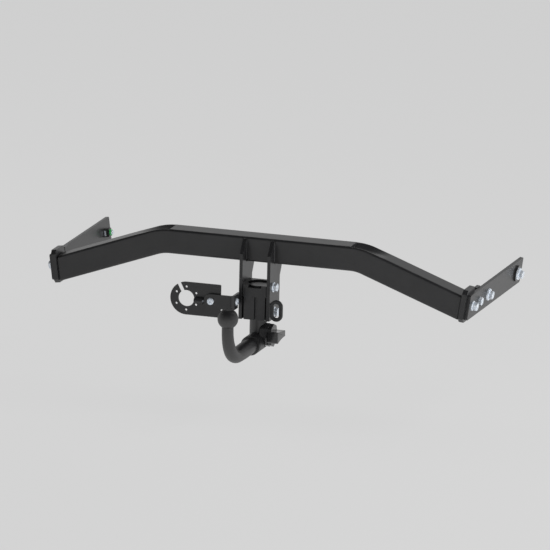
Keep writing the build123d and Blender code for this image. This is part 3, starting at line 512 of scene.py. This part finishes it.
# Rounded square: a quarter is one corner's arc, (half - corner) + corner * (cos, sin), and the side after
# it, and each next quarter is the last one turned, (x, y) to (-y, x)
def squareOutline(half, corner, perCorner=9, perSide=25):
    arc = np.linspace(0, np.pi / 2, perCorner)
    edge = np.linspace(-half + corner, half - corner, perSide)[1:-1]
    quarters = [np.concatenate([
        np.stack([half - corner + corner * np.cos(arc), half - corner + corner * np.sin(arc)], -1),
        np.stack([-edge, np.full(len(edge), half)], -1),
    ])]
    for _ in range(3):
        quarters.append(np.stack([-quarters[-1][:, 1], quarters[-1][:, 0]], -1))
    return np.concatenate(quarters)


# Eases a share from 0 to 1: 3 * share^2 - 2 * share^3
def eased(share):
    return share * share * (3 - 2 * share)


# Half of the beam as rows of (x, z) from its middle to its end, then mirrored. Level: x grows. Bend:
# (x, z) = centre of the arc + (radius + tall) * (sin(turn), cos(turn)). Arm: start + length * ahead. The last
# two rows are drawn in all round, as a groove with a flat floor that draws the dark seam at the end flange
def beamGrid(settings):
    half, corner, height = settings["half"], settings["corner"], settings["height"]
    angle, radius = settings["angle"], settings["bendRadius"]
    across, tall = squareOutline(half, corner).T
    levelEnd = settings["bendX"] - radius * math.tan(angle / 2)
    arcLength = radius * angle
    upper = np.clip((tall - half + corner) / corner, 0, 1)
    hollow = upper * np.clip(1 - (np.abs(across) / settings["hollowHalf"]) ** settings["hollowPower"], 0, 1)

    def drawn(length):
        rise = np.clip(length / settings["edge"], 0, 1)
        fall = np.clip(1 - (length - arcLength / 2) / settings["fade"], 0, 1)
        return settings["drawnIn"] * eased(rise) * eased(fall)

    # Level part
    level = np.linspace(0, levelEnd, settings["levelRows"])[:-1, None]
    levelRows = np.stack(np.broadcast_arrays(level, height + tall), -1)

    # Bend, with closer rows where the wall starts to draw in
    turns = np.unique(np.concatenate([
        np.linspace(0, angle, settings["bendRows"]),
        np.linspace(0, settings["edge"] / radius, settings["edgeRows"]),
    ]))[:, None]
    reach = radius + tall - drawn(turns * radius) * hollow
    bendRows = np.stack([levelEnd + reach * np.sin(turns), height - radius + reach * np.cos(turns)], -1)

    # Arm, from the bend to where the seam starts
    ahead = np.array([math.cos(angle), -math.sin(angle)])
    up = np.array([math.sin(angle), math.cos(angle)])
    outward = np.array([math.cos(sides["lean"]), -math.sin(sides["lean"])])
    base = np.array([levelEnd, height - radius]) + up * radius
    start = base + up * tall[:, None]
    face = np.array([sides["endX"], 0]) - outward * settings["gap"]
    length = ((face - start) @ outward) / (ahead @ outward)
    seamStart = 1 - settings["seamWide"] / length.mean()
    shares = np.concatenate([
        np.linspace(0, settings["armNear"], settings["armNearRows"])[1:],
        np.linspace(settings["armNear"], seamStart, settings["armFarRows"])[1:],
    ])
    along = shares[:, None] * length
    sunk = drawn(arcLength + along) * hollow
    armRows = start + along[..., None] * ahead - sunk[..., None] * up

    # Seam, up to the flange
    narrow = 1 - settings["seamDeep"] / half
    seamShares = np.array([seamStart + settings["seamStep"], 1])
    seamLength = seamShares[:, None] * length
    seamRows = base + (tall * narrow)[:, None] * up + seamLength[..., None] * ahead

    # Both halves
    rows = np.concatenate([levelRows, bendRows, armRows, seamRows])
    scale = np.ones((len(rows), 1))
    scale[-len(seamRows):] = narrow
    widths = scale * across
    flat = np.concatenate([rows[:0:-1] * np.array([-1, 1]), rows])
    depth = settings["middleY"] + np.concatenate([widths[:0:-1], widths])
    return np.stack([flat[..., 0], depth, flat[..., 1]], -1) / 1000


beamPiece = surfacePiece("crossbeam_tube", [beamGrid(beam)], "frame", "powder_coat", sharp=40)
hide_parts("crossbeam")
print("crossbeam bent")

# Weld beads, and where they run: each cheek to the beam's front and underside, then the safety eye and the
# lug to their cheeks
weld = {
    "wide": 2.4, "thick": 1.3, "proud": 0.3, "ripple": 0.08, "ripplePitch": 2.6,
    "taper": 3.0, "tip": 0.02, "rowEvery": 0.65, "around": 14,
}
smallWeld = dict(weld, wide=1.8, thick=1.0)
seams = {
    "cheekOuter": 39.0, "cheekInner": 31.0,
    "beamFront": -160.5, "frontTall": (68.2, 119.0), "beamUnder": 64.2, "underLong": (-157.5, -103.5),
    "eyeSides": ((-189.0, -1), (-181.0, 1)), "eyeTall": (-62.0, -28.0),
    "lugSides": ((-10.7, 1), (-35.7, -1)), "lugLong": (-189.0, -177.0),
}


# A flattened ring carried from start to stop: point = centre + swell * (wide * cos(turn) * side +
# thick * sin(turn) * outward), with swell = (1 + ripple * |sin(pi * length / pitch)|) * a taper at both ends
def beadGrid(settings, start, stop, lift):
    start, stop = np.array(start, float), np.array(stop, float)
    length = np.linalg.norm(stop - start)
    ahead = (stop - start) / length
    outward = np.array(lift, float) / np.linalg.norm(lift)
    side = np.cross(ahead, outward)
    stations = np.linspace(0, length, int(length / settings["rowEvery"]))
    swell = 1 + settings["ripple"] * np.abs(np.sin(np.pi * stations / settings["ripplePitch"]))
    fromEnd = np.minimum(stations, length - stations)
    swell *= np.sqrt(np.clip(fromEnd / settings["taper"], settings["tip"], 1))
    turn = fullTurn(settings["around"])[:, None]
    ring = settings["wide"] * np.cos(turn) * side + settings["thick"] * np.sin(turn) * outward
    centre = start + stations[:, None] * ahead + settings["proud"] * outward
    return (centre[:, None] + swell[:, None, None] * ring) / 1000


def seamBeads(settings):
    outer, inner = settings["cheekOuter"], settings["cheekInner"]
    front, under = settings["beamFront"], settings["beamUnder"]
    beads = []
    for x, out in ((-outer, -1), (-inner, 1), (outer, 1), (inner, -1)):
        low, high = settings["frontTall"]
        beads.append(beadGrid(weld, (x, front, low), (x, front, high), (out, -1, 0)))
        near, far = settings["underLong"]
        beads.append(beadGrid(weld, (x, near, under), (x, far, under), (out, 0, -1)))
    low, high = settings["eyeTall"]
    for y, way in settings["eyeSides"]:
        beads.append(beadGrid(smallWeld, (outer, y, low), (outer, y, high), (1, way, 0)))
    near, far = settings["lugLong"]
    for z, way in settings["lugSides"]:
        beads.append(beadGrid(smallWeld, (-outer, near, z), (-outer, far, z), (-1, 0, way)))
    return beads


surfacePiece("weld_beads", seamBeads(seams), "frame", "powder_coat", sharp=60)
print("welds laid")

# Lock housing and knob: eight-sided slabs on the knob's shaft, and the knob has a wing across it
lock = {
    "y": -153.0, "z": -114.0, "sides": 8, "turn": math.radians(1.0), "soften": 2.0, "points": 400,
    "edge": 0.9, "edgeRings": 7,
    "housing": 29.5, "housingStart": 11.0, "housingStop": 30.5,
    "knob": 28.5, "knobStart": 31.0, "knobStop": 40.0,
}
wing = {
    "start": 32.0, "stop": 59.0, "edge": 1.5, "half": 30.0, "columns": 40, "soften": 1.2, "points": 320,
    "tall": 15.5, "waist": 9.0, "waistRise": 1.5, "tail": 7.5, "bevel": 5.0,
}


# Inward directions of an outline: the line between a point's two neighbours, turned a quarter
def inwardWays(outline):
    ahead = np.roll(outline, -1, axis=0) - np.roll(outline, 1, axis=0)
    ahead /= np.linalg.norm(ahead, axis=1)[:, None]
    return np.stack([-ahead[:, 1], ahead[:, 0]], -1)


# An outline in the knob's plane, carried along the shaft and drawn in at each edge on a quarter circle:
# inset = edge * (1 - sin(turn)), height = edge * (1 - cos(turn))
def roundedSlab(outline, low, high, edge):
    turn = np.linspace(0, np.pi / 2, lock["edgeRings"])
    insets, rises = edge * (1 - np.sin(turn)), edge * (1 - np.cos(turn))
    insets = np.concatenate([insets, insets[::-1]])
    heights = np.concatenate([low + rises, (high - rises)[::-1]])
    flat = outline + insets[:, None, None] * inwardWays(outline)
    tall = np.broadcast_to(heights[:, None], flat.shape[:2])
    return np.stack([tall, lock["y"] + flat[..., 0], lock["z"] + flat[..., 1]], -1) / 1000


# Points at even steps of length round a closed line, softened by a running mean with weights that fall
# evenly to both sides
def evenOutline(outline, count, soften):
    closed = np.concatenate([outline, outline[:1]])
    steps = np.concatenate([[0], np.cumsum(np.linalg.norm(np.diff(closed, axis=0), axis=1))])
    places = np.linspace(0, steps[-1], count, endpoint=False)
    even = np.stack([np.interp(places, steps, closed[:, k]) for k in range(2)], -1)
    width = max(1, int(soften / (steps[-1] / count)))
    shifts = np.arange(-width, width + 1)
    weights = 1 - np.abs(shifts) / (width + 1)
    weights = weights / weights.sum()
    return np.tensordot(weights, np.stack([np.roll(even, s, axis=0) for s in shifts]), axes=(0, 0))


# Eight-sided outline: corner = radius * (cos, sin) of even turns, with straight lines between
def sidedOutline(radius):
    corners = lock["turn"] + fullTurn(lock["sides"])
    corners = radius * np.stack([np.cos(corners), np.sin(corners)], -1)
    return evenOutline(corners, lock["points"], lock["soften"])


# A parabola through three heights, at -1, 0 and 1
def parabola(along, first, middle, last):
    return middle * (1 - along ** 2) + first * (along ** 2 - along) / 2 + last * (along ** 2 + along) / 2


# Wing: one parabola above and one below, each with a tall end, a waist and a lower tail, and a bevel that
# cuts the lower corner of the tall end at 45 degrees
def wingOutline(settings):
    along = np.linspace(-1, 1, settings["columns"])
    half, tall, waist, tail = (settings[k] for k in ("half", "tall", "waist", "tail"))
    upper = parabola(along, tall, waist + settings["waistRise"], tail)
    lower = np.maximum(-parabola(along, tall, waist, tail), settings["bevel"] - tall - (along + 1) * half)
    points = np.concatenate([
        np.stack([along * half, lower], -1),
        np.stack([along * half, upper], -1)[::-1],
    ])
    return evenOutline(points, settings["points"], settings["soften"])


housingPiece = surfacePiece(
    "lock_housing_moulded",
    [roundedSlab(sidedOutline(lock["housing"]), lock["housingStart"], lock["housingStop"], lock["edge"])],
    "neck", "black_plastic",
)
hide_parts("lock_housing")
knobPiece = surfacePiece(
    "lock_knob_moulded",
    [
        roundedSlab(sidedOutline(lock["knob"]), lock["knobStart"], lock["knobStop"], lock["edge"]),
        roundedSlab(wingOutline(wing), wing["start"], wing["stop"], wing["edge"]),
    ],
    "knob", "black_plastic",
)
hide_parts("lock_knob")
print("lock moulded")
